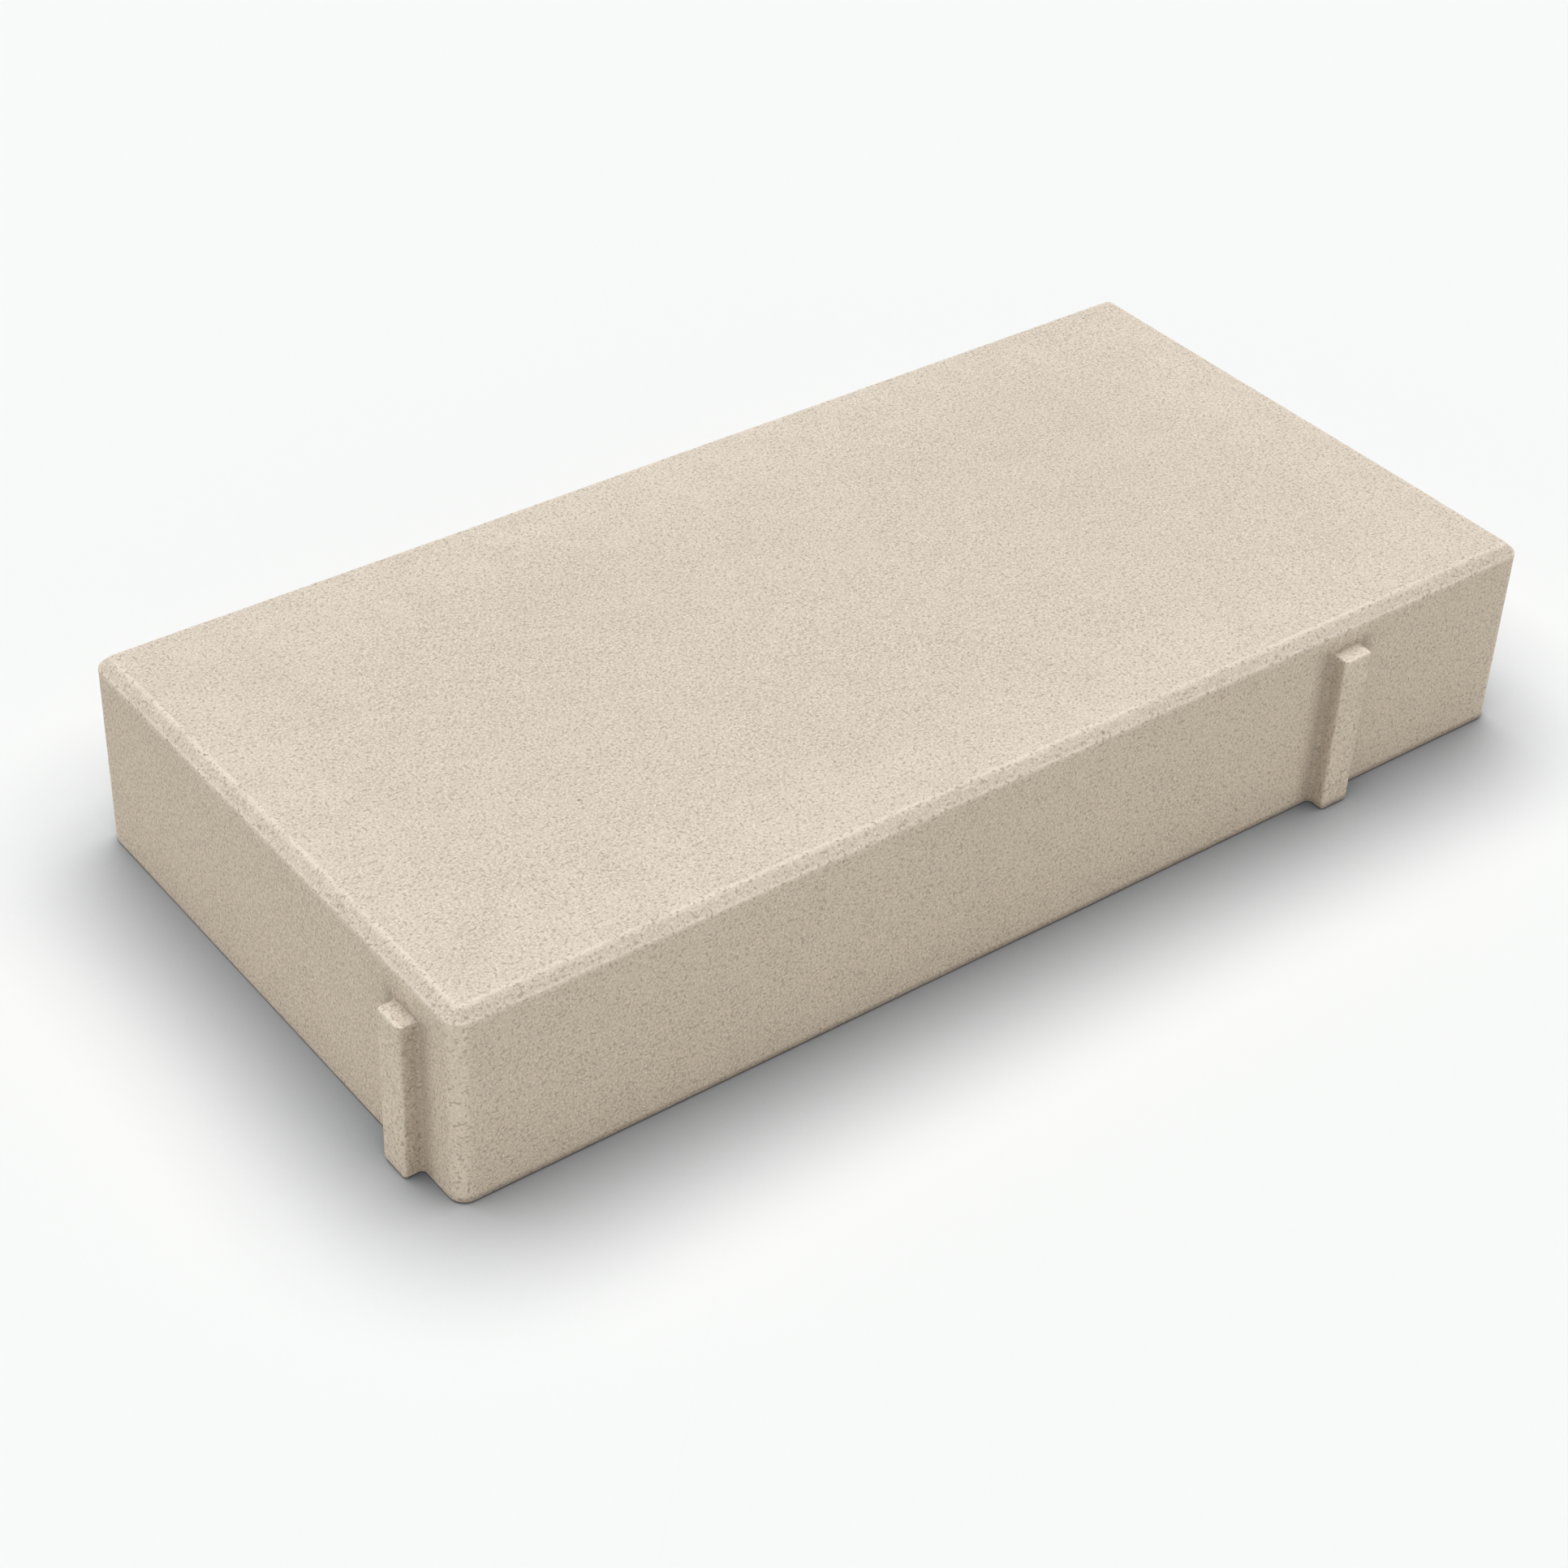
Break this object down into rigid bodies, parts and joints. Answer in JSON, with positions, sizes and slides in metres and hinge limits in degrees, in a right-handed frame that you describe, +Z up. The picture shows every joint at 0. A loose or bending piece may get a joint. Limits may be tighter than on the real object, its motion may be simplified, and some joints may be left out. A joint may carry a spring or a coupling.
{
  "type": "concrete paving stone",
  "caption": "Rectangular concrete paving stone with a chamfered wearing face, rounded upright corners and cast spacer nibs on its sides that set the joint.",
  "frame": {"origin": "middle of the bedding face, on the ground", "axes": "+X along the length of the stone, +Y across its width, +Z up out of the wearing face"},
  "size_m": [0.309, 0.1564, 0.05],
  "materials": {
    "concrete": "fine-grained cast concrete, dry and matt"
  },
  "bodies": {
    "root": {"paving_stone": "concrete"}
  },
  "joints": []
}
